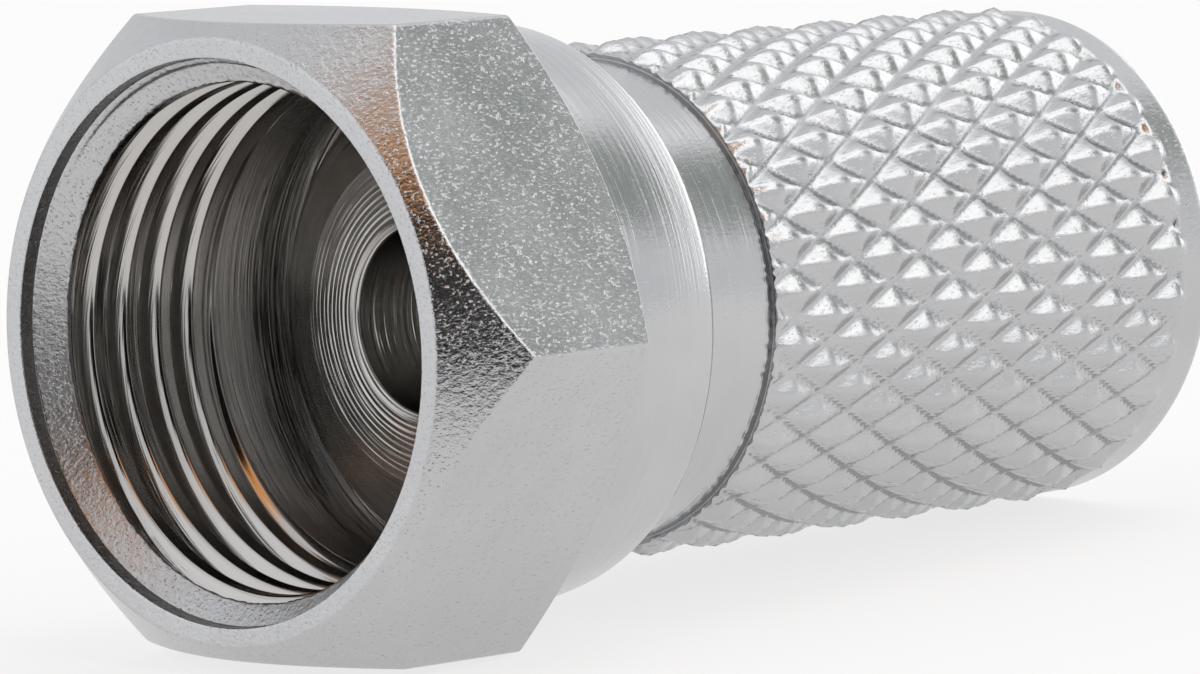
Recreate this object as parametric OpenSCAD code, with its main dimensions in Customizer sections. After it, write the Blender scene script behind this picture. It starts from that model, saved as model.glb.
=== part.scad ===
// Screw-on coaxial plug: a hexagon coupling nut that turns freely on a knurled cable sleeve.
// The axis is X. The origin is the centre of the coupling thread's mouth, and the cable leaves towards +X.

/* [Coupling nut] */
// Spanner size of the hexagon, across its flats
hex_across_flats = 10.9; // [10.6:0.1:14]
// Outside diameter of the flat front rim
rim_d = 10.4; // [10.1:0.05:10.6]
// Length of the hexagon's corners, from the end of the front chamfer to the start of the rear one
corner_length = 2.75; // [1:0.05:8]
// Angle of the front chamfer, from the face of the rim
front_chamfer_angle = 49; // [20:1:60]
// Angle of the rear chamfer, from the face of the rim
rear_chamfer_angle = 35; // [10:1:60]
// Diameter of the rolled shoulder where it meets the rear chamfer
shoulder_d = 10.5; // [10.3:0.05:10.7]
// Diameter of the rolled shoulder at its rear edge
shoulder_end_d = 10.05; // [9.8:0.05:10.3]
// Length of the rolled shoulder
shoulder_length = 2.35; // [1.5:0.05:5]
// How far the shoulder bulges out beyond a straight cone
shoulder_bulge = 0.07; // [0:0.01:0.09]
// Radius of the rear edge of the shoulder
shoulder_edge_r = 0.3; // [0.1:0.05:0.35]

/* [Coupling thread] */
// Diameter at the crests of the inside thread
thread_minor_d = 8.8; // [8.4:0.05:9]
// Length of the thread
thread_length = 3.6; // [2:0.1:8]
// Diameter of the plain mouth in front of the thread
mouth_d = 9.7; // [9.2:0.05:9.8]
// Depth of the plain mouth
mouth_depth = 0.3; // [0.1:0.05:1]
// Length of the cone that leads from the mouth into the thread
lead_in_length = 0.4; // [0.2:0.05:1]

/* [Swivel] */
// Diameter of the chamber behind the thread that the flange turns in
chamber_d = 9.3; // [9.2:0.05:9.4]
// Gap all round the flange in its chamber
flange_side_gap = 0.5; // [0.15:0.05:0.6]
// Thickness of the nut's inner lip that holds the flange
lip_thickness = 0.6; // [0.4:0.05:1.5]
// Diameter of the sleeve's neck inside the lip
neck_d = 7.4; // [6.6:0.1:7.8]
// Running clearance between the neck and the lip, on the radius
neck_clearance = 0.06; // [0.02:0.01:0.09]
// Gap along the axis on each side of the lip
end_play = 0.1; // [0.05:0.01:0.3]

/* [Sleeve front] */
// Thickness of the flange at its outer edge
flange_edge_thickness = 0.55; // [0.3:0.05:1.2]
// Diameter of the nearly flat middle of the flange's face
face_d = 6; // [4.5:0.1:7]
// How far the flange's conical face falls back from the middle to the outer edge
face_cone_depth = 0.6; // [0.1:0.05:1]
// How far the middle of the face rises towards the hole
face_crown = 0.15; // [0:0.01:0.3]
// Hole for the cable's inner insulation
centre_hole_d = 3.3; // [2:0.1:4.5]
// Radius of the rounded rim of the centre hole
centre_hole_edge_r = 0.2; // [0.05:0.01:0.3]

/* [Collar] */
// Diameter of the plain turned collar between the nut and the knurl
collar_d = 8.6; // [8:0.05:8.6]
// Length of the collar
collar_length = 2.1; // [1:0.1:5]
// Bevel on the front edge of the collar
collar_bevel = 0.12; // [0.05:0.01:0.4]

/* [Knurl] */
// Diameter over the points of the knurl
knurl_d = 9.26; // [9.1:0.02:10.5]
// Depth of the knurl's grooves
knurl_depth = 0.25; // [0.15:0.01:0.3]
// Number of grooves around the sleeve, the same for both hands
knurl_grooves = 30; // [18:1:40]
// Slope of the grooves against the axis
knurl_angle = 29.5; // [20:0.5:40]
// Number of points in a row along the axis
knurl_periods = 6; // [3:1:12]
// How far the whole knurl is turned about the axis
knurl_turn = 1.8; // [-6:0.1:6]
// Diameter of the knurl's front edge, where it starts at the collar
knurl_edge_d = 8.86; // [8.74:0.02:9]
// Distance from that edge to the first full row of points
knurl_lead = 0.54; // [0.3:0.02:0.7]

/* [Rear end] */
// Diameter of the plain rim behind the knurl
end_rim_d = 9.0; // [8.8:0.05:9.2]
// Length of the plain rim
end_rim_length = 1.05; // [0.9:0.05:3]
// Radius of the rounded outer edge of the plain rim
end_rim_r = 0.7; // [0.2:0.05:0.8]
// How far the last grooves run on behind the last row of points, up to the plain rim
groove_tail = 0.1; // [0.05:0.05:0.3]

/* [Cable bore] */
// Diameter of the cable bore
cable_bore_d = 5.6; // [4.6:0.1:7]
// Wall left between the cable bore and the front of the collar
collar_web = 2.0; // [1:0.1:4]
// Bevel at the mouth of the cable bore
cable_bore_bevel = 0.35; // [0.1:0.05:0.6]

/* [Hidden] */
smooth = 96;
overlap = 0.05;      // how far pieces of one solid run into each other
beyond = 1;          // how far a cut runs past the surface it opens

// Radii of the nut
corner_r = hex_across_flats / sqrt(3);
rim_r = rim_d / 2;
shoulder_r = shoulder_d / 2;
shoulder_end_r = shoulder_end_d / 2;
thread_r = thread_minor_d / 2;
mouth_r = mouth_d / 2;
chamber_r = chamber_d / 2;
neck_r = neck_d / 2;
lip_r = neck_r + neck_clearance;

// Places along the axis: the thread's mouth is at 0
nut_front_x = -mouth_depth - lead_in_length;
corner_front_x = nut_front_x + (corner_r - rim_r) * tan(front_chamfer_angle);
corner_rear_x = corner_front_x + corner_length;
shoulder_x = corner_rear_x + (corner_r - shoulder_r) * tan(rear_chamfer_angle);
nut_rear_x = shoulder_x + shoulder_length;
lip_x = nut_rear_x - lip_thickness;

// The sleeve's flange sits in front of the lip, and its collar behind the nut
flange_r = chamber_r - flange_side_gap;
flange_rear_x = lip_x - end_play;
flange_front_x = flange_rear_x - flange_edge_thickness;
face_x = flange_front_x - face_cone_depth;
hole_x = face_x - face_crown;
collar_x = nut_rear_x + end_play;
knurl_x = collar_x + collar_length;

// The knurl: its points stand in rows half a period apart
knurl_tip_r = knurl_d / 2;
knurl_root_r = knurl_tip_r - knurl_depth;
knurl_pitch = PI * knurl_d / knurl_grooves;         // around the sleeve
knurl_period = knurl_pitch / tan(knurl_angle);      // along the axis
knurl_rows = 2 * knurl_periods;
knurl_end_x = knurl_x + knurl_lead + knurl_periods * knurl_period;
knurl_edge_r = knurl_edge_d / 2;
rim_x = knurl_end_x + groove_tail;
run_out = groove_tail + knurl_depth;                // the last points slope down into the plain rim

end_rim_radius = end_rim_d / 2;
rear_x = knurl_end_x + end_rim_length;
collar_r = collar_d / 2;
cable_bore_r = cable_bore_d / 2;
cable_bore_x = collar_x + collar_web;
centre_hole_r = centre_hole_d / 2;

// Points of an arc about c, from angle a0 to a1
function arc(c, r, a0, a1, steps = 8) =
    [for (i = [0:steps]) let (a = a0 + (a1 - a0) * i / steps) [c[0] + r * cos(a), c[1] + r * sin(a)]];

// Turns an outline of [x, radius] points about the X axis
module turned(outline) {
    rotate([0, 90, 0])
        rotate_extrude($fn = smooth)
            polygon([for (p = outline) [p[1], p[0]]]);
}

// Hexagonal bar along X, with two of its flats level
module hex_bar(x0, x1) {
    translate([x0, 0, 0])
        rotate([0, 90, 0])
            rotate([0, 0, 90])
                cylinder(h = x1 - x0, r = corner_r, $fn = 6);
}

// Outline of the turned outside of the nut, chamfers and rolled shoulder included
function nut_outline() = concat(
    [[nut_front_x, 0], [nut_front_x, rim_r], [corner_front_x, corner_r], [corner_rear_x, corner_r]],
    [for (i = [0:8])
        let (t = i / 8)
        [shoulder_x + t * (shoulder_length - shoulder_edge_r),
         shoulder_r + t * (shoulder_end_r - shoulder_r) + shoulder_bulge * 4 * t * (1 - t)]],
    arc([nut_rear_x - shoulder_edge_r, shoulder_end_r - shoulder_edge_r], shoulder_edge_r, 75, 0, 4),
    [[nut_rear_x, 0]]);

// Outline of the inside of the nut
function nut_bore_outline() = [
    [nut_front_x - beyond, 0], [nut_front_x - beyond, mouth_r], [nut_front_x + mouth_depth, mouth_r],
    [0, thread_r], [thread_length, thread_r], [thread_length + chamber_r - thread_r, chamber_r],
    [lip_x, chamber_r], [lip_x, lip_r], [nut_rear_x + beyond, lip_r], [nut_rear_x + beyond, 0]];

module coupling_nut() {
    color([0.74, 0.74, 0.73])
        difference() {
            intersection() {
                turned(nut_outline());
                hex_bar(nut_front_x - beyond, nut_rear_x + beyond);
            }
            turned(nut_bore_outline());
        }
}

// Flange, neck and collar
function sleeve_front_outline() = concat(
    [[hole_x, 0]],
    [[hole_x, centre_hole_r + centre_hole_edge_r], [face_x, face_d / 2], [flange_front_x, flange_r],
     [flange_rear_x, flange_r], [flange_rear_x, neck_r], [collar_x, neck_r],
     [collar_x, collar_r - collar_bevel], [collar_x + collar_bevel, collar_r],
     [knurl_x + overlap, collar_r], [knurl_x + overlap, 0]]);

// Plain rim at the rear, with a rounded outer edge
function end_rim_outline() = concat(
    [[rim_x, 0], [rim_x, end_rim_radius]],
    arc([rear_x - end_rim_r, end_rim_radius - end_rim_r], end_rim_r, 90, 0),
    [[rear_x, 0]]);

// Centre hole with a rounded rim, then the cable bore with a bevelled mouth
function sleeve_bore_outline() = concat(
    [[hole_x - beyond, 0], [hole_x - beyond, centre_hole_r + centre_hole_edge_r]],
    arc([hole_x + centre_hole_edge_r, centre_hole_r + centre_hole_edge_r], centre_hole_edge_r, 180, 270, 5),
    [[cable_bore_x, centre_hole_r], [cable_bore_x, cable_bore_r],
     [rear_x - cable_bore_bevel, cable_bore_r],
     [rear_x + beyond, cable_bore_r + cable_bore_bevel + beyond], [rear_x + beyond, 0]]);

// Two crossing sets of V grooves leave rows of four-sided points. Around each row, points on the tips
// and points where two grooves cross take turns, and the rows are half a period apart. A round edge
// row starts the knurl at the collar, and a round end row brings it down inside the plain rim.
module knurl() {
    sides = 2 * knurl_grooves;
    edge = 0;
    first = 1;
    last = first + knurl_rows;
    end = last + 1;
    function is_tip(row, k) = (row + k) % 2 == 0;
    function row_r(row, k) =
        row == edge ? knurl_edge_r
        : row == end || !is_tip(row, k) ? knurl_root_r
        : knurl_tip_r;
    function row_x(row) =
        row == edge ? knurl_x
        : row == end ? knurl_end_x + run_out
        : knurl_x + knurl_lead + (row - first) * knurl_period / 2;
    points = [for (row = [edge:end]) for (k = [0:sides - 1])
        let (a = knurl_turn + k * 360 / sides, r = row_r(row, k))
        [row_x(row), r * cos(a), r * sin(a)]];
    function at(row, k) = row * sides + (k % sides);
    // Each four corners are split along the groove, which joins the two crossings
    skin = [for (row = [edge:last]) for (k = [0:sides - 1])
        let (a = at(row, k), b = at(row, k + 1), c = at(row + 1, k + 1), d = at(row + 1, k))
        each (is_tip(row, k) ? [[a, d, b], [b, d, c]] : [[a, c, b], [a, d, c]])];
    front = [for (k = [0:sides - 1]) at(edge, k)];
    back = [for (k = [sides - 1:-1:0]) at(end, k)];
    polyhedron(points, concat(skin, [front, back]), convexity = 4);
}

module knurled_sleeve() {
    color([0.80, 0.80, 0.80])
        difference() {
            union() {
                turned(sleeve_front_outline());
                knurl();
                turned(end_rim_outline());
            }
            turned(sleeve_bore_outline());
        }
}

coupling_nut();
knurled_sleeve();
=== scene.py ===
"""A twist-on coaxial plug in nickel-plated brass: a hexagon coupling nut that turns on a knurled sleeve.

Each piece is one closed shell of rings about the X axis, worked out in millimetres. A ring is a row of
points, one for each angle around the axis, and an angle of 0 points along +Y and 90 degrees along +Z.
"""
import math

import bmesh
import bpy
import numpy as np
from mathutils import Matrix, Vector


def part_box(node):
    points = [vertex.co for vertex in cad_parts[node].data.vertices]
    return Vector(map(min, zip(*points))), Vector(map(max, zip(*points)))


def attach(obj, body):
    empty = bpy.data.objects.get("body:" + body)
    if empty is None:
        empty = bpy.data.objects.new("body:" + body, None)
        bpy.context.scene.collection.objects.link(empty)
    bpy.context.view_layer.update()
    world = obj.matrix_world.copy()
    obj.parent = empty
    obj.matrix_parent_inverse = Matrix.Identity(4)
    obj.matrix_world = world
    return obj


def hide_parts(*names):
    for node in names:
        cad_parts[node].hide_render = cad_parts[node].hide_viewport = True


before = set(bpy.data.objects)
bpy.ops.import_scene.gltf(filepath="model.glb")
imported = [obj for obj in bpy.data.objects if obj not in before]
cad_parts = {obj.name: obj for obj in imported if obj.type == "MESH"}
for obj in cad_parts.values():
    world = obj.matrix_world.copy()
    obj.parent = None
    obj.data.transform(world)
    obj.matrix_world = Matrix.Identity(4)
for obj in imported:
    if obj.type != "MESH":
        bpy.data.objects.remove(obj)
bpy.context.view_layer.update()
MM = 0.001
WELD, NOTHING = 2e-8, 1e-9  # metres: points this near are one, and edges this short are none

# The nut's places come from its solid
NUT_LOW, NUT_HIGH = (np.array(corner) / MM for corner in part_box("coupling_nut"))
NUT_FRONT, NUT_REAR = NUT_LOW[0], NUT_HIGH[0]
FLAT_R, CORNER_R = NUT_HIGH[2], NUT_HIGH[1]
RIM_R = 5.2
FRONT_ANGLE, REAR_ANGLE = math.radians(49), math.radians(35)
CORNER_LENGTH = 2.75
SHOULDER_R, SHOULDER_END_R = 5.25, 5.025
SHOULDER_BULGE, SHOULDER_EDGE = 0.07, 0.3
MOUTH_R, MOUTH_DEPTH, LEAD_IN = 4.85, 0.3, 0.4
CHAMBER_R, LIP_R, LIP_THICKNESS = 4.65, 3.76, 0.6
WORN_CUT = 0.05             # how far back a worn corner starts to round
BURR, BURR_REACH, BURR_WANDER = 0.012, 0.06, 0.02       # the ragged edge where the lead-in ends

# The coupling thread: its crests are the thread's bore
CREST_R, ROOT_R = 4.4, 4.7625
PITCH = 25.4 / 32
THREAD_END, THREAD_FADE = 3.6, 0.45     # where it ends, and the length over which its grooves run out
FIRST_CREST = -0.03         # where a crest crosses the +Y side
CREST_HALF, ROOT_HALF = 0.174, 0.063    # half widths of crest and root, in turns

# The sleeve's places run back from its own solid's ends
SLEEVE_LOW, SLEEVE_HIGH = (np.array(corner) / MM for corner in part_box("knurled_sleeve"))
HOLE_X, REAR_X = SLEEVE_LOW[0], SLEEVE_HIGH[0]
HOLE_R, HOLE_EDGE = 1.65, 0.2
FACE_R, FACE_CROWN, CONE_DEPTH = 3.0, 0.15, 0.6
FLANGE_R, NECK_R = 4.15, 3.7
RINGED_R, RING_FADE, RING_STEP, RING_DEPTH = 2.95, 0.3, 0.11, 0.011     # rings turned around the hole
END_PLAY = 0.1
COLLAR_R, COLLAR_LENGTH, COLLAR_BEVEL, COLLAR_WEB = 4.3, 2.1, 0.12, 2.0
KNURL_R, KNURL_DEPTH, GROOVES, KNURL_PERIODS = 4.61, 0.24, 30, 6
KNURL_EDGE_R, KNURL_RISE, KNURL_RAGGED = 4.4, 0.45, 0.03
KNURL_TURN, KNURL_LEAD = math.radians(1.8), 0.54
KNURL_CLOSE, KNURL_FADE = 0.14, 0.26    # lengths over which its grooves fill up and its tops sink to the rim
GROOVE_R, GROOVE_SLANT = 4.63, math.radians(29.5)       # the grooves' slant to the axis, at that radius
KNURL_PERIOD = 2 * math.pi * GROOVE_R / GROOVES / math.tan(GROOVE_SLANT)
END_RIM_R, END_RIM_EDGE = 4.5, 0.7
BORE_R, BORE_BEVEL = 2.8, 0.35
JACKET_PITCH, JACKET_DEPTH, JACKET_FADE = 1.25, 0.28, 0.8
JACKET_CREST_HALF, JACKET_ROOT_HALF = 0.04, 0.1

# The floor: where the nut touches it, how far it runs, its gap below the metal and its share of white
FLOOR_TOUCH, FLOOR_FRONT, FLOOR_REACH, FLOOR_GAP, FLOOR_WHITE = 3.9, 34.0, 900.0, 0.02, 0.72
NUT_LOOKS = -42             # the azimuth that the nut's mouth looks to, on the camera's side

COLLAR_X = NUT_REAR + END_PLAY
KNURL_X = COLLAR_X + COLLAR_LENGTH
KNURL_ROW = KNURL_X + KNURL_LEAD
KNURL_END = KNURL_ROW + KNURL_PERIODS * KNURL_PERIOD
BORE_X = COLLAR_X + COLLAR_WEB
FLANGE_X = HOLE_X + FACE_CROWN + CONE_DEPTH


# ------------------------------------------------------------------ curves and rings

def waves(angles, lowest, highest, seed, count=24):
    """A closed random line about 0, up to about 1: cosines of whole turns with random phases."""
    dice = np.random.default_rng(seed)
    turns = dice.integers(lowest, highest, count)[:, None]
    phases = dice.uniform(0, 2 * math.pi, count)[:, None]
    return np.cos(turns * angles + phases).sum(0) / math.sqrt(count)


def least(a, b, ease):
    """The lesser of a and b, with the crossing rounded over a difference of ease."""
    near = np.maximum(ease - np.abs(a - b), 0) / ease
    return np.minimum(a, b) - near * near * ease / 4


def most(a, b, ease):
    """The greater of a and b, rounded in the same way."""
    return -least(-a, -b, ease)


def spaced(count):
    """Shares of a span, closer together at its ends: half of 1 - cos."""
    return 0.5 - 0.5 * np.cos(math.pi * np.arange(1, count + 1) / (count + 1))


def outline(stops, columns, turn=4):
    """Rows of an outline. Each stop is (x, radius, cut, rows): straight spans of that many rows lead to
    the stops, and each corner P is cut back on both sides and rounded by the parabola
    (1-t)^2 A + 2t(1-t) P + t^2 B between its cuts A and B. Values may differ from column to column."""
    corners = np.array([[np.broadcast_to(np.asarray(v, float), (columns,)) for v in stop[:2]]
                        for stop in stops])
    step = np.diff(corners, axis=0)
    length = np.maximum(np.hypot(step[:, 0], step[:, 1]), 1e-9)
    way = step / length[:, None]
    rows = [corners[0]]
    for i in range(1, len(stops)):
        cut, span = stops[i][2:4]
        point = corners[i]
        bend = [point]
        if cut and i < len(stops) - 1:
            back = np.minimum(cut, 0.45 * np.minimum(length[i - 1], length[i]))
            a, b = point - way[i - 1] * back, point + way[i] * back
            bend = [(1 - t) ** 2 * a + 2 * t * (1 - t) * point + t * t * b
                    for t in np.linspace(0, 1, turn + 1)]
        start = rows[-1]
        rows.extend(start + (bend[0] - start) * share for share in spaced(span))
        rows.extend(bend)
    return np.array(rows)


def ring_points(x, radius, angles):
    """Points at x and radius for each row and column."""
    x, radius = np.broadcast_arrays(x, radius)
    return np.stack([x, radius * np.cos(angles), radius * np.sin(angles)], -1)


def around(rows, angles):
    """Points of an outline's rows carried around the axis."""
    return ring_points(rows[:, 0], rows[:, 1], angles)


def band_faces(rows, columns, first, slip=0):
    """Quads between rings. The last column meets the first one slip rows further on."""
    i, j = np.arange(rows - 1)[:, None], np.arange(columns)[None, :]
    after = (j + 1) % columns
    shift = np.where(j == columns - 1, slip, 0)
    corners = (i * columns + j, (i + 1) * columns + j,
               np.minimum(i + 1 + shift, rows - 1) * columns + after,
               np.minimum(i + shift, rows - 1) * columns + after)
    return np.stack(np.broadcast_arrays(*corners), -1).reshape(-1, 4) + first


def joint_faces(fine, coarse, first_fine, first_coarse, fine_leads):
    """Triangles between a fine ring and a coarse one with a whole share of its points. The fine edges
    fan out to the nearest coarse point, and the coarse edges to the fine point halfway along."""
    share = fine // coarse
    j = np.arange(fine)
    near = ((j + share // 2) // share) % coarse
    fans = np.stack([first_fine + j, first_coarse + near, first_fine + (j + 1) % fine], -1)
    k = np.arange(coarse)
    half = (k * share + share - share // 2) % fine
    gaps = np.stack([first_fine + half, first_coarse + k, first_coarse + (k + 1) % coarse], -1)
    faces = np.concatenate([fans, gaps])
    return faces if fine_leads else faces[:, ::-1]


def shell(name, bands, materials):
    """One mesh of bands in order, the last joined to the first. Each band is (points, material number,
    slip), and two bands with different numbers of columns are joined by a strip of triangles."""
    points, quads, triangles, quad_finish, triangle_finish = [], [], [], [], []
    first = 0
    starts = []
    for grid, finish, slip in bands:
        rows, columns = grid.shape[:2]
        starts.append((first, rows, columns))
        faces = band_faces(rows, columns, first, slip)
        quads.append(faces)
        quad_finish.append(np.full(len(faces), finish))
        points.append(grid.reshape(-1, 3))
        first += rows * columns
    for i, (start, rows, columns) in enumerate(starts):
        there, _, others = starts[(i + 1) % len(starts)]
        if others == columns:
            continue
        end = start + (rows - 1) * columns
        faces = (joint_faces(columns, others, end, there, True) if columns > others
                 else joint_faces(others, columns, there, end, False))
        triangles.append(faces)
        triangle_finish.append(np.full(len(faces), bands[i][1]))
    faces = [q for part in quads for q in part.tolist()] + [t for part in triangles for t in part.tolist()]
    mesh = bpy.data.meshes.new(name)
    mesh.from_pydata((np.concatenate(points) * MM).tolist(), [], faces)
    mesh.polygons.foreach_set("material_index",
                              np.concatenate(quad_finish + triangle_finish).astype(np.int32))
    mesh.polygons.foreach_set("use_smooth", np.ones(len(mesh.polygons), bool))
    for material in materials:
        mesh.materials.append(material)
    welded = bmesh.new()
    welded.from_mesh(mesh)
    bmesh.ops.remove_doubles(welded, verts=welded.verts, dist=WELD)
    bmesh.ops.dissolve_degenerate(welded, edges=welded.edges, dist=NOTHING)
    welded.to_mesh(mesh)
    welded.free()
    mesh.update()
    piece = bpy.data.objects.new(name, mesh)
    bpy.context.scene.collection.objects.link(piece)
    return piece


# ------------------------------------------------------------------ the coupling nut

FLATS, TURNED, THREAD, ROLLED, LEAD = range(5)          # the order of the nut's materials


def nut_angles(finest=0.12, growth=1.28, widest=1.05):
    """Angles around the nut in radians. From each corner the steps grow by the same factor up to the
    widest, and the sector's other half mirrors them."""
    steps = []
    while sum(steps) < 30 - widest:
        steps.append(min(finest * growth ** len(steps), widest))
    half = np.cumsum(steps) * 30 / sum(steps)
    sector = np.concatenate([[0], half, 60 - half[-2::-1]])
    return np.radians(np.concatenate([sector + 60 * corner for corner in range(6)]))


def hexagon(angles, ease=0.07):
    """Radius of the hexagon at each angle: the nearest flat's distance over the cosine of the angle from
    its middle, with the corner between two flats rounded."""
    turn = np.mod(angles, math.radians(60)) - math.radians(30)
    near, next_one = FLAT_R / np.cos(turn), FLAT_R / np.cos(math.radians(60) - np.abs(turn))
    return least(near, next_one, ease)


def thread_depth(x, angles, first, pitch, half_crest, half_root, ease=0.1):
    """Share of the thread's depth: 0 on a crest, 1 in a root, straight flanks between, corners eased."""
    turns = (x - first) / pitch - angles / (2 * math.pi)
    away = np.abs(turns - np.round(turns))
    ramp = (away - half_crest) / (0.5 - half_crest - half_root)
    return least(most(ramp, 0, ease), 1, ease)


def helix_rows(angles, low, high, first, pitch, phases):
    """x of each row and column: each row climbs one pitch a turn, and stays between low and high."""
    turns = np.arange(math.floor((np.min(low) - first) / pitch) - 2,
                      math.ceil((np.max(high) - first) / pitch) + 1)
    along = (turns[:, None] + np.array(phases)[None, :]).reshape(-1, 1)
    return np.clip(first + pitch * (along + angles / (2 * math.pi)), low, high)


def nut_inside(x, angles, ease=0.02):
    """Radius of the lead-in and the thread. The lead-in's cone is cut by the thread's grooves, and the
    grooves run out over the last half turn."""
    cone = CREST_R + np.maximum(-x, 0) * (MOUTH_R - CREST_R) / LEAD_IN
    fading = np.clip((THREAD_END - x) / THREAD_FADE, 0, 1)
    depth = thread_depth(x, angles, FIRST_CREST, PITCH, CREST_HALF, ROOT_HALF)
    burr = BURR * waves(angles, 20, 160, 5) * np.exp(-(x / BURR_REACH) ** 2)
    groove = CREST_R + (ROOT_R - CREST_R) * depth * fading * (3 - 2 * fading) * fading - burr
    return most(cone, groove, ease)


def nut_bands(angles):
    """The nut's rings: in at the mouth, along the thread and the chamber, round the lip, then forward
    over the shoulder and the hexagon to the rim."""
    columns = len(angles)
    hexagon_r = hexagon(angles)
    chamfer_x = NUT_FRONT + (hexagon_r - RIM_R) * math.tan(FRONT_ANGLE)
    corner_x = NUT_FRONT + (CORNER_R - RIM_R) * math.tan(FRONT_ANGLE) + CORNER_LENGTH
    rear_x = corner_x + (CORNER_R - hexagon_r) * math.tan(REAR_ANGLE)
    shoulder_x = corner_x + (CORNER_R - SHOULDER_R) * math.tan(REAR_ANGLE)

    # Bands hand over to each other in the middle of a flat ring, or just past a corner by nip
    nip = 0.02
    rim_middle_r, rear_middle_r = (MOUTH_R + RIM_R) / 2, (LIP_R + SHOULDER_END_R) / 2
    mouth_x = NUT_FRONT + MOUTH_DEPTH
    mouth = outline([
        (NUT_FRONT, rim_middle_r, 0, 0), (NUT_FRONT, MOUTH_R, 0.03, 2),
        (mouth_x, MOUTH_R, 0.02, 3), (mouth_x + nip, MOUTH_R - nip, 0, 0)], columns)
    ragged_x = BURR_WANDER * waves(angles, 12, 120, 3)
    lead_x = mouth_x + nip + (ragged_x - mouth_x - nip) * np.linspace(0, 1, 14)[:, None]
    lead_r = nut_inside(lead_x, angles)
    lead_r[0] = mouth[-1, 1]

    # Rows across one turn of the thread: close together where the crest and the root are eased
    flank = 0.5 - CREST_HALF - ROOT_HALF
    side = [CREST_HALF - 0.06, CREST_HALF - 0.02, CREST_HALF + 0.02, CREST_HALF + 0.06,
            CREST_HALF + flank / 2, 0.5 - ROOT_HALF - 0.04, 0.5 - ROOT_HALF, 0.5 - ROOT_HALF / 2]
    phases = [0] + side + [0.5] + [1 - p for p in reversed(side)]
    thread_x = helix_rows(angles, ragged_x, THREAD_END, FIRST_CREST, PITCH, phases)
    thread_r = nut_inside(thread_x, angles)

    lip_x = NUT_REAR - LIP_THICKNESS
    chamber = outline([
        (THREAD_END, CREST_R, 0, 0), (THREAD_END + 2 * nip, CHAMBER_R, 0.02, 1),
        (lip_x, CHAMBER_R, 0.03, 12), (lip_x, LIP_R, 0.03, 3), (NUT_REAR, LIP_R, WORN_CUT, 3),
        (NUT_REAR, rear_middle_r, 0, 2)], columns)

    shoulder = [(shoulder_x + t * (NUT_REAR - shoulder_x),
                 SHOULDER_R + t * (SHOULDER_END_R - SHOULDER_R) + SHOULDER_BULGE * 4 * t * (1 - t))
                for t in (1, 0.8, 0.6, 0.4, 0.2, 0)]
    back = outline(
        [(NUT_REAR, rear_middle_r, 0, 0), (*shoulder[0], SHOULDER_EDGE, 2)]
        + [(*stop, 0.2, 1) for stop in shoulder[1:-1]] + [(*shoulder[-1], 0.04, 1)]
        + [(rear_x, hexagon_r, 0, 4)], columns)
    body = outline([
        (rear_x + nip, hexagon_r - nip / math.tan(REAR_ANGLE), 0, 0), (rear_x, hexagon_r, WORN_CUT, 0),
        (chamfer_x, hexagon_r, WORN_CUT, 12), (NUT_FRONT, RIM_R, WORN_CUT, 9),
        (NUT_FRONT, rim_middle_r, 0, 3)], columns)
    body[0] = back[-1] = back[-2] * 0.5 + back[-1] * 0.5
    return [
        (around(mouth, angles), FLATS, 0),
        (ring_points(lead_x, lead_r, angles), LEAD, 0),
        (ring_points(thread_x, thread_r, angles), THREAD, len(phases)),
        (around(chamber, angles), TURNED, 0),
        (around(back, angles), ROLLED, 0),
        (around(body, angles), FLATS, 0),
    ]


# ------------------------------------------------------------------ the knurled sleeve

SMOOTH, TOOLED, GRIP = range(3)             # the order of the sleeve's materials


def knurl_height(x, angles, land=0.8, ease=0.12, dome=0.12, uneven=0.06):
    """Height of the knurl, 0 in the grooves and 1 on top. Two sets of V grooves cross, each a ramp of the
    distance from its groove, and the lower ramp wins. The tops are cut off to lands, which stay slightly
    domed. Each has its own height, from the fraction of a large sine of its number."""
    across = GROOVES * (angles - KNURL_TURN) / (2 * math.pi)
    along = (x - KNURL_ROW) / KNURL_PERIOD
    right, left = across + along, across - along
    ramps = [1 - 2 * np.abs(hand - np.round(hand)) for hand in (right - 0.5, left - 0.5)]
    number = np.floor(right) * 131 + np.floor(left) * 71
    own = np.mod(np.sin(number * 12.9898) * 43758.5453, 1)
    height = least(ramps[0], ramps[1], ease)
    top = 1 - dome + dome * np.clip((height - land) / (1 - land), 0, 1)
    return least(height / land, top + uneven * (own - 0.5), ease)


def knurl_rows(angles, part=6, start_ease=0.03, end_ease=0.04):
    """Rows over the knurl, part of them to each half period. It rises from its edge at the collar to just
    clear of its tops, and runs out under the plain rim."""
    clear = 0.05
    step = KNURL_PERIOD / 2 / part
    count = 2 * KNURL_PERIODS * part
    lead = KNURL_X + np.array([0, 0.02, 0.06, 0.12, 0.2, 0.3, 0.42])
    tail = KNURL_END + np.array([0.05, 0.1, 0.15, 0.2, KNURL_FADE])
    x = np.concatenate([lead, KNURL_ROW + step * np.arange(count + 1), tail])[:, None] + 0 * angles
    ragged = KNURL_RAGGED * waves(angles, 40, 230, 8)
    radius = KNURL_R - KNURL_DEPTH * (1 - knurl_height(x, angles))
    rise = np.clip((x - KNURL_X) / KNURL_RISE, 0, 1)
    radius = least(radius, KNURL_EDGE_R + ragged + (KNURL_R + clear - KNURL_EDGE_R) * rise, start_ease)
    close = np.clip((x - KNURL_END + 0.02) / KNURL_CLOSE, 0, 1)
    rim = KNURL_R - KNURL_DEPTH + (END_RIM_R - KNURL_R + KNURL_DEPTH) * close
    over = np.clip((x - KNURL_END) / KNURL_FADE, 0, 1)
    radius = radius * (1 - over) + np.minimum(radius, END_RIM_R) * over
    return x, np.where(x > KNURL_END - clear, most(radius, rim, end_ease), radius)


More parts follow.
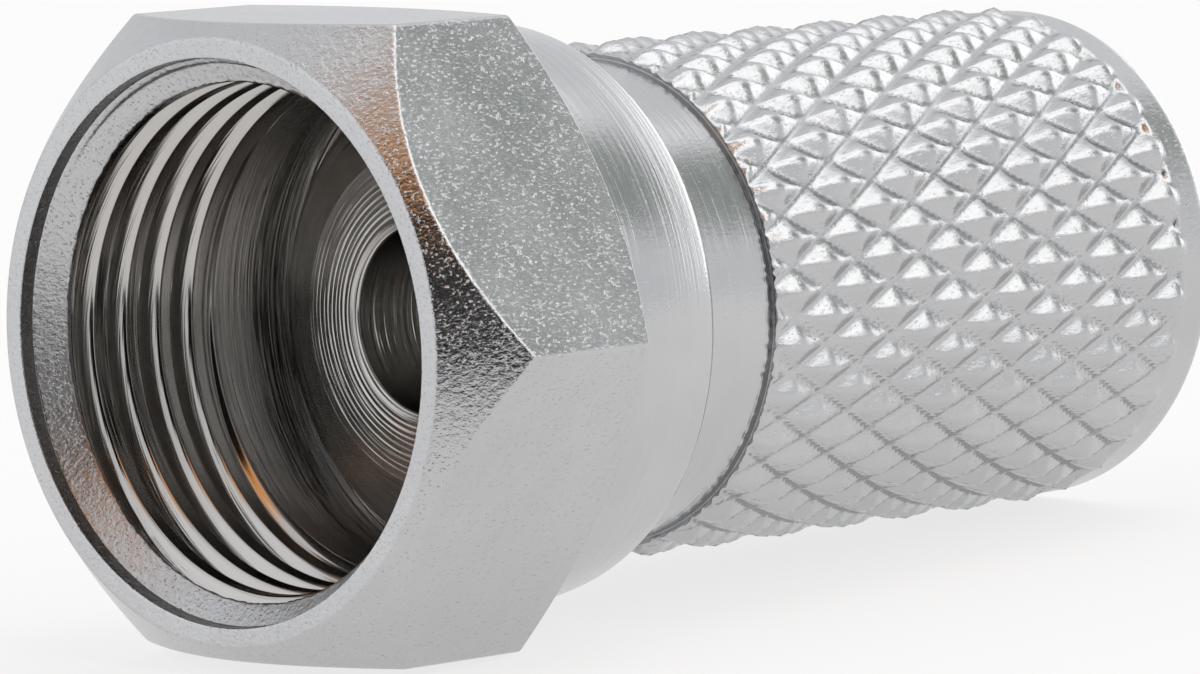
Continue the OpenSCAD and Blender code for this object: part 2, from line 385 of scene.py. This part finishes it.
def sleeve_bands(fine, middle, coarse):
    """The sleeve's rings: in at the centre hole, along the cable bore, round the rear rim, forward over
    the knurl and the collar, round the flange and back over its face to the hole."""
    n_fine, n_middle, n_coarse = len(fine), len(middle), len(coarse)
    # A strip of triangles joins rings of different counts on each flat ring, between these two radii
    (hole_side_r, bore_side_r), (bore_lip_r, rim_lip_r), (collar_side_r, neck_side_r) = (
        (2.1, 2.3), (3.3, 3.5), (4.05, 3.9))
    hole = outline([
        (HOLE_X, HOLE_R + HOLE_EDGE, 0, 0), (HOLE_X, HOLE_R, HOLE_EDGE, 0),
        (BORE_X, HOLE_R, WORN_CUT, 14), (BORE_X, hole_side_r, 0, 1)], n_middle, 6)
    jacket_start, bore_end = BORE_X + 0.3, REAR_X - BORE_BEVEL
    jacket_end = bore_end - 0.1
    step = outline([(BORE_X, bore_side_r, 0, 0), (BORE_X, BORE_R, WORN_CUT, 1),
                    (jacket_start, BORE_R, 0, 1)], n_coarse)
    phases = np.linspace(0, 1, 10, endpoint=False)
    jacket_x = helix_rows(coarse, jacket_start, jacket_end, BORE_X, JACKET_PITCH, phases)
    ends = np.clip(np.minimum(jacket_x - jacket_start, jacket_end - jacket_x) / JACKET_FADE, 0, 1)
    jacket_r = BORE_R + JACKET_DEPTH * ends * thread_depth(jacket_x, coarse, BORE_X, JACKET_PITCH,
                                                           JACKET_CREST_HALF, JACKET_ROOT_HALF)
    mouth = outline([(jacket_end, BORE_R, 0, 0), (bore_end, BORE_R, 0.04, 1),
                     (REAR_X, BORE_R + BORE_BEVEL, 0.04, 2), (REAR_X, bore_lip_r, 0, 1)], n_coarse)
    rim = outline([
        (REAR_X, rim_lip_r, 0, 0), (REAR_X, END_RIM_R, END_RIM_EDGE, 2),
        (KNURL_END + KNURL_FADE, END_RIM_R, 0, 5)], n_fine, 10)
    knurl_x, knurl_r = knurl_rows(fine)
    collar = outline([
        (KNURL_X, knurl_r[0], 0, 0), (KNURL_X + 0.06, COLLAR_R, 0.02, 3),
        (COLLAR_X, COLLAR_R, COLLAR_BEVEL, 10), (COLLAR_X, collar_side_r, 0, 1)], n_fine)
    lip_x = NUT_REAR - LIP_THICKNESS - END_PLAY
    front = outline([
        (COLLAR_X, neck_side_r, 0, 0), (COLLAR_X, NECK_R, 0.02, 1), (lip_x, NECK_R, 0.02, 2),
        (lip_x, FLANGE_R, 0.04, 2), (FLANGE_X, FLANGE_R, WORN_CUT, 2),
        (HOLE_X + FACE_CROWN, FACE_R, 0.02, 22), (HOLE_X, HOLE_R + HOLE_EDGE, 0, 60)], n_middle)
    # The face waves by a cosine of the radius, once for each turning ring, and dies away outwards
    near_hole = np.clip((RINGED_R - front[:, 1]) / RING_FADE, 0, 1) * (front[:, 0] < FLANGE_X)
    rings = 2 * math.pi * (front[:, 1] - HOLE_R - HOLE_EDGE) / RING_STEP
    front[:, 0] -= near_hole * RING_DEPTH * np.cos(rings)
    front[-1] = hole[0]
    return [
        (around(hole, middle), TOOLED, 0),
        (around(step, coarse), TOOLED, 0),
        (ring_points(jacket_x, jacket_r, coarse), TOOLED, len(phases)),
        (around(mouth, coarse), SMOOTH, 0),
        (around(rim, fine), GRIP, 0),
        (ring_points(knurl_x[::-1], knurl_r[::-1], fine), GRIP, 0),
        (around(collar, fine), SMOOTH, 0),
        (around(front, middle), TOOLED, 0),
    ]


# ------------------------------------------------------------------ finishes

class Wiring:
    """Adds shader nodes to a tree. Each call sets a node's inputs from numbers or other nodes' outputs."""

    def __init__(self, tree):
        self.tree = tree

    def add(self, kind, inputs=(), output=0, **settings):
        node = self.tree.nodes.new(kind)
        for name, value in settings.items():
            setattr(node, name, value)
        for socket, value in dict(inputs).items():
            self.feed(node.inputs[socket], value)
        return node.outputs[output]

    def feed(self, socket, value):
        if isinstance(value, bpy.types.NodeSocket):
            self.tree.links.new(value, socket)
        else:
            socket.default_value = value

    def math(self, operation, a, b=0.0, c=0.0):
        return self.add("ShaderNodeMath", {0: a, 1: b, 2: c}, operation=operation)

    def ramp(self, value, low, high, out_low=0.0, out_high=1.0):
        return self.add("ShaderNodeMapRange", {"Value": value, "From Min": low, "From Max": high,
                                               "To Min": out_low, "To Max": out_high},
                        interpolation_type="SMOOTHSTEP")

    def mix(self, share, a, b):
        node = self.tree.nodes.new("ShaderNodeMix")
        node.data_type = "RGBA"
        self.feed(node.inputs[0], share)
        self.feed(node.inputs[6], a)
        self.feed(node.inputs[7], b)
        return node.outputs[2]

    def noise(self, place, scale, detail=2.0, roughness=0.5):
        return self.add("ShaderNodeTexNoise", {"Vector": place, "Scale": scale, "Detail": detail,
                                               "Roughness": roughness})


def group(name, inputs, outputs, build):
    """A shader node group. build gets the wiring and the input sockets, and gives the outputs."""
    tree = bpy.data.node_groups.new(name, "ShaderNodeTree")
    for label, kind, value in inputs:
        socket = tree.interface.new_socket(label, in_out="INPUT", socket_type=kind)
        if value is not None:
            socket.default_value = value
    for label, kind in outputs:
        tree.interface.new_socket(label, in_out="OUTPUT", socket_type=kind)
    wiring = Wiring(tree)
    start, end = tree.nodes.new("NodeGroupInput"), tree.nodes.new("NodeGroupOutput")
    for socket, value in zip(end.inputs, build(wiring, start.outputs)):
        wiring.feed(socket, value)
    return tree


def turned_lines(w, given):
    """Fine tool lines around the axis: a noise of x plus 1.3 times the radius, broken up around it."""
    parts = w.add("ShaderNodeSeparateXYZ", {0: given["Place"]}).node
    x, y, z = parts.outputs
    radius = w.math("SQRT", w.math("ADD", w.math("MULTIPLY", y, y), w.math("MULTIPLY", z, z)))
    across = w.math("MULTIPLY", w.math("ADD", x, w.math("MULTIPLY", radius, 1.3)), given["Lines"])
    place = w.add("ShaderNodeCombineXYZ", {0: across, 1: w.math("MULTIPLY", y, given["Along"]),
                                           2: w.math("MULTIPLY", z, given["Along"])})
    return [w.noise(place, 1.0, 3.0, 0.65)]


def tumbled_grain(w, given):
    """The dents of tumbled metal: grains of two sizes, the finer drawn out one way, with raised nicks."""
    stretched = w.add("ShaderNodeMapping", {"Vector": given["Place"], "Rotation": (0.5, 0.35, 0.2),
                                            "Scale": (0.45, 1.0, 1.0)})
    fine = w.noise(stretched, w.math("MULTIPLY", given["Grain"], 1.35), 3.0, 0.6)
    coarse = w.noise(given["Place"], w.math("MULTIPLY", given["Grain"], 0.22), 2.0, 0.5)
    nicks = w.ramp(w.noise(stretched, w.math("MULTIPLY", given["Grain"], 2.3), 1.0, 0.5), 0.58, 0.80)
    height = w.math("ADD", w.math("MULTIPLY", fine, 0.6), w.math("MULTIPLY", coarse, 0.5))
    return [w.math("ADD", height, w.math("MULTIPLY", nicks, 0.30))]


def plated(name, colour, roughness, lines, grain, spread=0.08, patches=420.0):
    """Nickel plate, a little uneven in tone and in roughness over soft patches. lines and grain are the
    depths of the tool lines and of the tumbled dents, in millimetres."""
    material = bpy.data.materials.new(name)
    material.use_nodes = True
    tree = material.node_tree
    w = Wiring(tree)
    shader = tree.nodes["Principled BSDF"]
    place = w.add("ShaderNodeTexCoord", output="Object")
    normal = None
    for effect, depth in ((LINES, lines), (GRAIN, grain)):
        marks = tree.nodes.new("ShaderNodeGroup")
        marks.node_tree = effect
        w.feed(marks.inputs["Place"], place)
        bump = {"Strength": 1.0, "Distance": depth * MM, "Height": marks.outputs["Height"]}
        if normal:
            bump["Normal"] = normal
        normal = w.add("ShaderNodeBump", bump)
    cloud = w.noise(place, patches, 3.0, 0.55)
    darker = tuple(c * 0.93 for c in colour[:3]) + (1.0,)
    w.feed(shader.inputs["Base Color"], w.mix(w.ramp(cloud, 0.3, 0.7), darker, colour))
    w.feed(shader.inputs["Roughness"],
           w.ramp(cloud, 0.25, 0.75, roughness - spread / 2, roughness + spread / 2))
    w.feed(shader.inputs["Normal"], normal)
    shader.inputs["Metallic"].default_value = 1.0
    return material


# ------------------------------------------------------------------ the studio

def direction(azimuth, elevation):
    """The unit vector that points from the plug to that azimuth and elevation, in degrees."""
    a, e = math.radians(azimuth), math.radians(elevation)
    return np.array([math.sin(a) * math.cos(e), -math.cos(a) * math.cos(e), math.sin(e)])


def seen(w):
    """1 for rays from the camera and for reflected or transmitted ones, 0 for the rays that light things."""
    path = w.add("ShaderNodeLightPath").node
    return w.math("MAXIMUM", w.math("MAXIMUM", path.outputs["Is Camera Ray"], path.outputs["Is Glossy Ray"]),
                  path.outputs["Is Transmission Ray"])


def studio():
    """A pale room: an even grey-white, with softer and brighter fields, and the dark of the room on the
    camera's side. The camera itself sees white."""
    world = bpy.data.worlds.new("pale_studio")
    bpy.context.scene.world = world
    world.use_nodes = True
    tree = world.node_tree
    w = Wiring(tree)
    ray = w.add("ShaderNodeTexCoord", output="Generated")
    colour = (0.84, 0.85, 0.87, 1.0)
    black, glow, grey = (0.008, 0.007, 0.007, 1.0), (1.1, 0.52, 0.20, 1.0), (0.16, 0.16, 0.16, 1.0)

    def field(toward, inner, outer):
        """1 within inner degrees of a direction, 0 beyond outer, smooth between."""
        dot = w.add("ShaderNodeVectorMath", {0: ray, 1: tuple(toward)}, "Value", operation="DOT_PRODUCT")
        return w.ramp(dot, math.cos(math.radians(outer)), math.cos(math.radians(inner)))

    fields = [
        (direction(20, 60), 18, 50, (2.0, 2.0, 2.0, 1.0)),
        (direction(95, 5), 8, 30, (2.2, 2.2, 2.2, 1.0)),
        (direction(60, 35), 6, 22, (0.35, 0.38, 0.36, 1.0)),
        (direction(-125, 15), 18, 45, (1.1, 1.12, 1.15, 1.0)),
    ]
    for toward, inner, outer, tone in fields:
        colour = w.mix(field(toward, inner, outer), colour, tone)

    # The dark of the room, straight ahead of the nut: black, then a lamp's glow, then grey, going up.
    # Uneven streaks break up the heights at which they change
    ahead, aside = direction(NUT_LOOKS, 0), direction(NUT_LOOKS + 90, 0)
    forward = w.add("ShaderNodeVectorMath", {0: ray, 1: tuple(ahead)}, "Value", operation="DOT_PRODUCT")
    sideways = w.add("ShaderNodeVectorMath", {0: ray, 1: tuple(aside)}, "Value", operation="DOT_PRODUCT")
    up = w.add("ShaderNodeSeparateXYZ", {0: ray}).node.outputs[2]
    streaks = w.math("MULTIPLY", w.noise(ray, 9.0, 3.0, 0.7), 0.25)
    height = w.math("ADD", up, w.math("SUBTRACT", streaks, 0.125))
    dark = colour
    for tone, fades, gone in ((grey, 0.93, 0.98), (glow, 0.84, 0.90), (black, 0.68, 0.73)):
        dark = w.mix(w.ramp(height, fades, gone), tone, dark)
    width = w.math("MULTIPLY", w.ramp(w.math("ABSOLUTE", sideways), 0.38, 0.46, 1.0, 0.0),
                   w.ramp(forward, 0.0, 0.08))
    colour = w.mix(width, colour, dark)
    path = w.add("ShaderNodeLightPath").node
    background = tree.nodes["Background"]
    w.feed(background.inputs["Color"], w.mix(path.outputs["Is Camera Ray"], colour, (1.0, 1.0, 1.0, 1.0)))


def floor():
    """A pale floor that touches the nut's lowest edge and the sleeve's rear end. It stops a little way in
    front of the nut, on the camera's side, and is white with a faint shadow."""
    low = np.array([FLOOR_TOUCH, -FLAT_R])
    far = np.array([KNURL_END, -KNURL_R])
    slope = (far[1] - low[1]) / (far[0] - low[0])
    toward = direction(NUT_LOOKS, 0)[:2]
    across = np.array([-toward[1], toward[0]])
    corners = [toward * near + across * side for near, side in
               ((FLOOR_FRONT, -FLOOR_REACH), (FLOOR_FRONT, FLOOR_REACH),
                (-FLOOR_REACH, FLOOR_REACH), (-FLOOR_REACH, -FLOOR_REACH))]
    corners = [(x, y, low[1] + slope * (x - low[0]) - FLOOR_GAP) for x, y in corners]
    mesh = bpy.data.meshes.new("floor")
    mesh.from_pydata([tuple(v * MM for v in c) for c in corners], [], [(0, 1, 2, 3)])
    board = bpy.data.objects.new("floor", mesh)
    bpy.context.scene.collection.objects.link(board)
    material = bpy.data.materials.new("pale_floor")
    material.use_nodes = True
    tree = material.node_tree
    w = Wiring(tree)
    shader = tree.nodes["Principled BSDF"]
    shader.inputs["Base Color"].default_value = (0.93, 0.93, 0.94, 1.0)
    shader.inputs["Roughness"].default_value = 0.9
    shader.inputs["Specular IOR Level"].default_value = 0.0
    white = w.add("ShaderNodeEmission", {"Color": (1.0, 1.0, 1.0, 1.0), "Strength": 1.0})
    share = w.math("MULTIPLY", seen(w), FLOOR_WHITE)
    mixed = w.add("ShaderNodeMixShader", {0: share, 1: shader.outputs["BSDF"], 2: white})
    w.feed(tree.nodes["Material Output"].inputs["Surface"], mixed)
    mesh.materials.append(material)


def camera():
    """A long lens low on the nut's side, turned a little about its own line of sight."""
    data = bpy.data.cameras.new("camera")
    data.lens, data.sensor_width = 270.0, 36.0
    data.shift_x, data.shift_y = 0.0162, -0.0290
    data.clip_start, data.clip_end = 0.005, 10.0
    eye = bpy.data.objects.new("camera", data)
    bpy.context.scene.collection.objects.link(eye)
    azimuth, elevation, roll = -46.59, 5.29, math.radians(-0.99)
    aim, distance = np.array([0.0083, 0, 0]), 0.159
    back = direction(azimuth, elevation)
    right = np.cross(-back, [0, 0, 1])
    right /= np.linalg.norm(right)
    up = np.cross(back, right)
    right, up = right * math.cos(roll) + up * math.sin(roll), up * math.cos(roll) - right * math.sin(roll)
    place = aim + back * distance
    matrix = np.eye(4)
    matrix[:3, 0], matrix[:3, 1], matrix[:3, 2], matrix[:3, 3] = right, up, back, place
    eye.matrix_world = Matrix(matrix.tolist())
    bpy.context.scene.camera = eye


# ------------------------------------------------------------------ putting it together

# Marks to a metre: the tool lines across and along themselves, and the dents
LINES = group("turned_lines", [("Place", "NodeSocketVector", None), ("Lines", "NodeSocketFloat", 9000.0),
                               ("Along", "NodeSocketFloat", 160.0)],
              [("Height", "NodeSocketFloat")], turned_lines)
GRAIN = group("tumbled_grain", [("Place", "NodeSocketVector", None), ("Grain", "NodeSocketFloat", 9000.0)],
              [("Height", "NodeSocketFloat")], tumbled_grain)
SILVER = (0.56, 0.563, 0.57, 1.0)
# A darker, warmer nickel: painted shade for the recessed inside surfaces, that is the nut's thread and
# chamber and the sleeve's face, flange, hole and bore
PAINTED_SHADE_NICKEL = (0.52, 0.505, 0.485, 1.0)

# Each finish: colour, roughness, depth of its tool lines, depth of its dents
flats = plated("tumbled_nickel", SILVER, 0.24, 0.0, 0.03)
# The turned and thread finishes take that darker colour, which is painted shade for the recesses inside the
# nut
turned = plated("turned_nickel_painted_shade", PAINTED_SHADE_NICKEL, 0.17, 0.03, 0.0)
thread = plated("thread_nickel_painted_shade", PAINTED_SHADE_NICKEL, 0.14, 0.012, 0.0)
lead_in = plated("lead_in_nickel", SILVER, 0.34, 0.0, 0.03)
rolled = plated("rolled_nickel", SILVER, 0.18, 0.012, 0.006)
knurled = plated("knurled_nickel", SILVER, 0.26, 0.0, 0.016)

nut = shell("nut_body", nut_bands(nut_angles()), [flats, turned, thread, rolled, lead_in])
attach(nut, "nut")
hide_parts("coupling_nut")

# Each ring of the sleeve has 12 points to a groove on the knurl, and a half or a quarter of that elsewhere
fine, middle, coarse = (np.linspace(0, 2 * math.pi, n, endpoint=False) + KNURL_TURN
                        for n in (12 * GROOVES, 6 * GROOVES, 3 * GROOVES))
sleeve = shell("sleeve_body", sleeve_bands(fine, middle, coarse), [rolled, turned, knurled])
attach(sleeve, "sleeve")
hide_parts("knurled_sleeve")

floor()
studio()
camera()
bpy.context.scene.view_settings.view_transform = "Standard"
